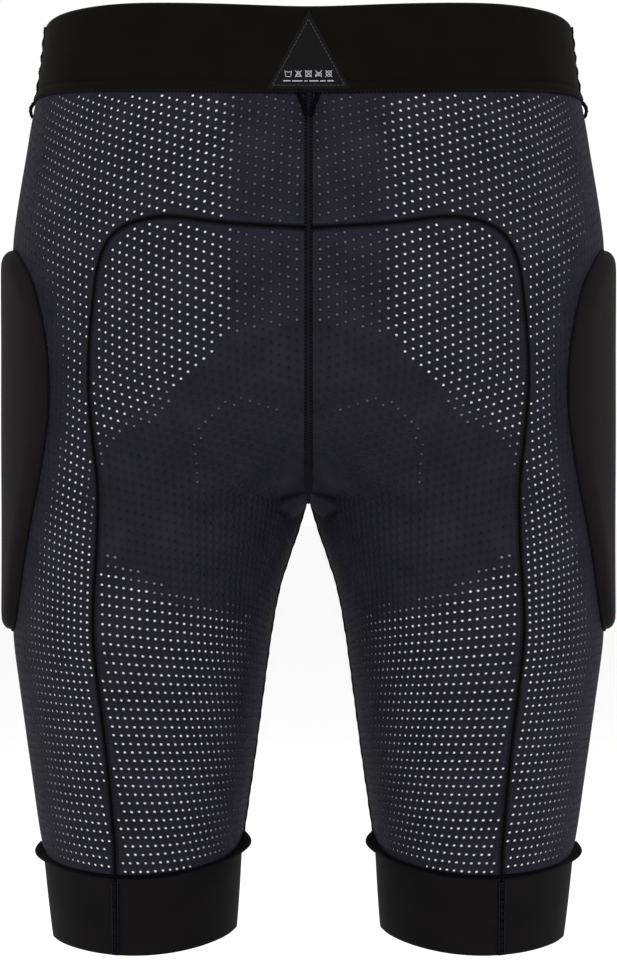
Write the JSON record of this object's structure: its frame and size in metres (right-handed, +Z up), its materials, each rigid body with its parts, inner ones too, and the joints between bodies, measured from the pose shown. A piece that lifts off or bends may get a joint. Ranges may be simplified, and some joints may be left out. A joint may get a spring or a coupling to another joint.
{
  "type": "padded impact shorts",
  "caption": "Close-fitting padded liner shorts in perforated mesh, with a wide waistband, a seat pad and removable hip protectors in outside pockets.",
  "frame": {"origin": "centre of the waist opening, in the plane of the waistband's top edge", "axes": "+Z up, -Y towards the wearer's back, +X towards the wearer's right"},
  "size_m": [0.337, 0.2592, 0.5],
  "materials": {
    "black_elastic": "matt brushed elastic knit",
    "mesh_navy": "perforated stretch mesh",
    "overlock_thread": "overlocked thread seam",
    "smooth_knit": "matt smooth stretch knit",
    "impact_foam": "matt soft protective foam",
    "label_fabric": "matt bonded label",
    "chamois_fleece": "brushed seat pad fabric over foam"
  },
  "bodies": {
    "root": {"waistband_back": "black_elastic", "waistband_front": "black_elastic", "waist_elastic": "black_elastic", "waistband_lining": "black_elastic", "leg_band_left": "black_elastic", "leg_band_right": "black_elastic", "rear_panel_left": "mesh_navy", "rear_panel_right": "mesh_navy", "side_panel_left": "mesh_navy", "side_panel_right": "mesh_navy", "front_panel_left": "mesh_navy", "front_panel_right": "mesh_navy", "waist_seam": "overlock_thread", "centre_back_seam": "overlock_thread", "centre_front_seam": "overlock_thread", "waistband_side_seam_left": "overlock_thread", "waistband_side_seam_right": "overlock_thread", "arch_seam_left": "overlock_thread", "arch_seam_right": "overlock_thread", "front_side_seam_left": "overlock_thread", "front_side_seam_right": "overlock_thread", "inseam_left": "overlock_thread", "inseam_right": "overlock_thread", "leg_band_joining_seam_left": "overlock_thread", "leg_band_joining_seam_right": "overlock_thread", "leg_band_vertical_seam_left": "overlock_thread", "leg_band_vertical_seam_right": "overlock_thread", "hip_pocket_edge_seam_left": "overlock_thread", "hip_pocket_edge_seam_right": "overlock_thread", "hip_pocket_cover_left": "smooth_knit", "hip_pocket_cover_right": "smooth_knit", "hip_pocket_lining_left": "smooth_knit", "hip_pocket_lining_right": "smooth_knit", "back_label": "label_fabric", "chamois_base": "chamois_fleece", "chamois_rear_edge_binding": "chamois_fleece", "chamois_front_edge_binding": "chamois_fleece", "chamois_centre_cushion": "chamois_fleece", "chamois_cushion_left": "chamois_fleece", "chamois_cushion_right": "chamois_fleece"},
    "protector_left": {"hip_pad_left": "impact_foam"},
    "protector_right": {"hip_pad_right": "impact_foam"}
  },
  "joints": [
    {"name": "protector_left_slide", "type": "slide", "parent": "root", "child": "protector_left", "axis": [0, 0, 1], "range_m": [0, 0.21]},
    {"name": "protector_right_slide", "type": "slide", "parent": "root", "child": "protector_right", "axis": [0, 0, 1], "range_m": [0, 0.21]}
  ]
}
